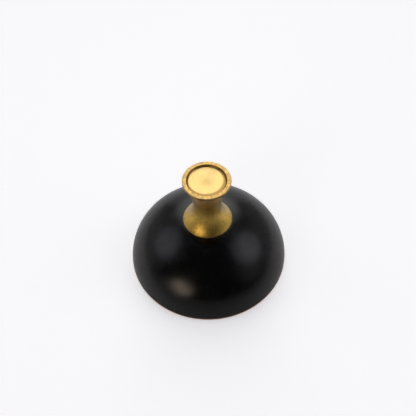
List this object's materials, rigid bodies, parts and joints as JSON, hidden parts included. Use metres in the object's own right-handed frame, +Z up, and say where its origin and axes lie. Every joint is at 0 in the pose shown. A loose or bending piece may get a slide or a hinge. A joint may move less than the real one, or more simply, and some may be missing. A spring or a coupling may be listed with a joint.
{
  "type": "table hand bell",
  "caption": "Low domed hand bell with a waisted metal grip on its crown and a clapper swinging inside; stands on its open lip.",
  "frame": {"origin": "centre of the plane that the bell's lip stands on", "axes": "+Z up along the bell's axis of revolution, +Y along the clapper's cross pin"},
  "size_m": [0.084, 0.084, 0.0616],
  "materials": {
    "black_enamel": "satin black coat on a cast brass shell, bare at the lip",
    "cast_brass": "raw cast and turned, unpolished, slightly aged",
    "turned_brass": "turned, fine tool marks",
    "plain_steel": "turned and filed, dull",
    "washer_leather": "plain brown leather"
  },
  "bodies": {
    "bell": {"bell_dome": "black_enamel", "grip": "cast_brass", "crown_washer": "washer_leather", "inner_washer": "washer_leather", "hanger_bolt": "plain_steel", "clapper_pin": "plain_steel"},
    "clapper": {"clapper_rod": "plain_steel", "clapper_ball": "turned_brass"}
  },
  "joints": [
    {"name": "clapper_swing", "type": "hinge", "parent": "bell", "child": "clapper", "pos_m": [0, 0, 0.02316], "axis": [0, 1, 0], "range_deg": [-79, 79]}
  ]
}
